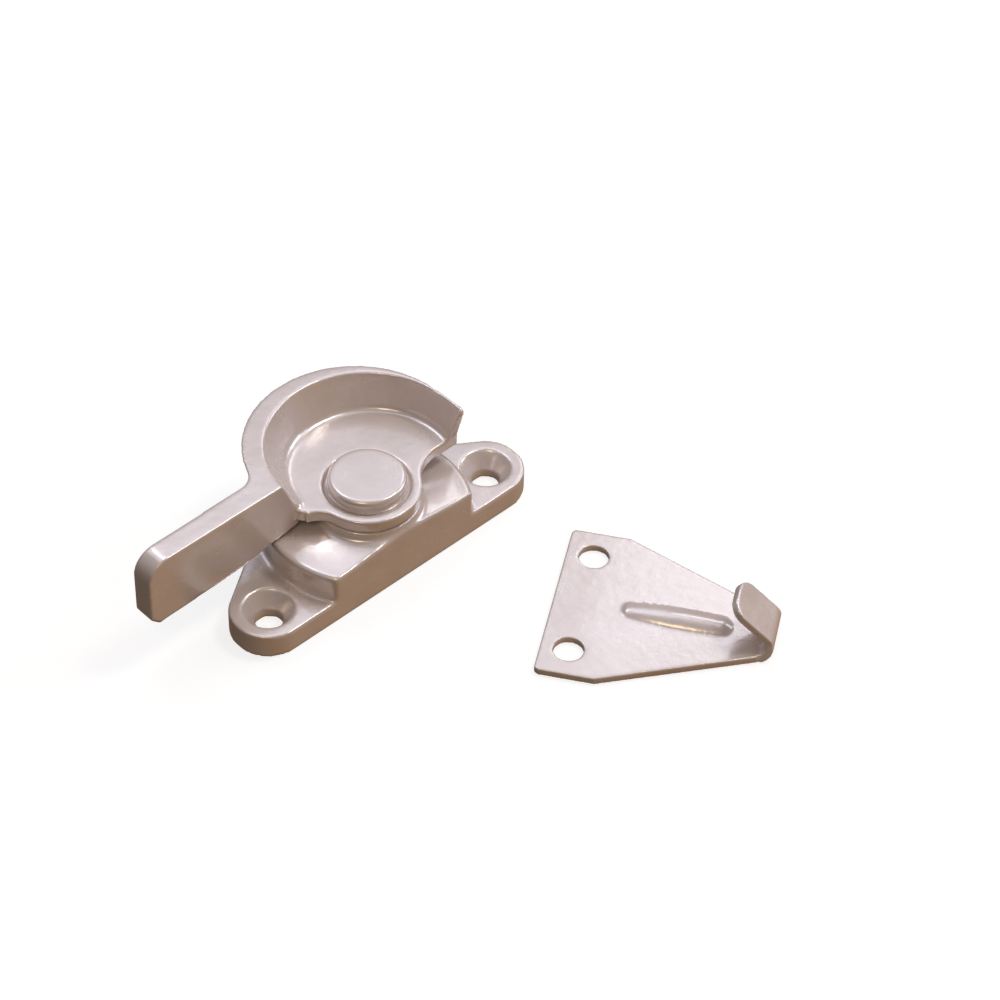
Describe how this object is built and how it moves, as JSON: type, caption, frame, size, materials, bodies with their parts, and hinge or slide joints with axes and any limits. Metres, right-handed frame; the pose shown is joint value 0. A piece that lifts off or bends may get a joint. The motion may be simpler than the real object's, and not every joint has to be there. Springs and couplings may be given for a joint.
{
  "type": "crescent window lock with keeper plate",
  "caption": "Crescent lock for a sliding window: an eared base, a dished cam with a flat handle that turns half a turn on a headed pin, and a hooked sheet keeper for the other sash.",
  "frame": {"origin": "midway between the base's two screw holes, on the face that sits on the sash", "axes": "+X along the base's two screws, away from the handle at rest; +Y across the sash towards the side where the crescent lies when unlocked; +Z out of the mounting face, along the pivot pin towards its head"},
  "size_m": [0.085, 0.0884, 0.0225],
  "materials": {
    "champagne_casting": "gloss paint with a pearl, over a zinc die casting",
    "champagne_pin": "gloss paint with a pearl, over turned steel",
    "champagne_sheet": "gloss paint with a pearl, over pressed steel sheet",
    "nylon": "natural nylon",
    "spring_steel": "oiled spring steel",
    "zinc_plated_steel": "bright zinc plate"
  },
  "bodies": {
    "base": {"base_casting": "champagne_casting", "pivot_bush": "nylon", "front_detent_spring": "spring_steel", "rear_detent_spring": "spring_steel"},
    "crescent": {"crescent_handle": "champagne_casting", "pivot_pin": "champagne_pin", "stop_plate": "zinc_plated_steel", "disc_spring": "spring_steel", "tail_washer": "zinc_plated_steel"},
    "keeper": {"keeper_plate": "champagne_sheet"}
  },
  "joints": [
    {"name": "crescent_turn", "type": "hinge", "parent": "base", "child": "crescent", "pos_m": [0, 0.003, 0], "axis": [0, 0, -1], "range_deg": [0, 180], "deforming": ["front_detent_spring", "rear_detent_spring"]},
    {"name": "keeper_lift", "type": "slide", "parent": "base", "child": "keeper", "axis": [0, 0, 1], "range_m": [0, 0.04]}
  ]
}
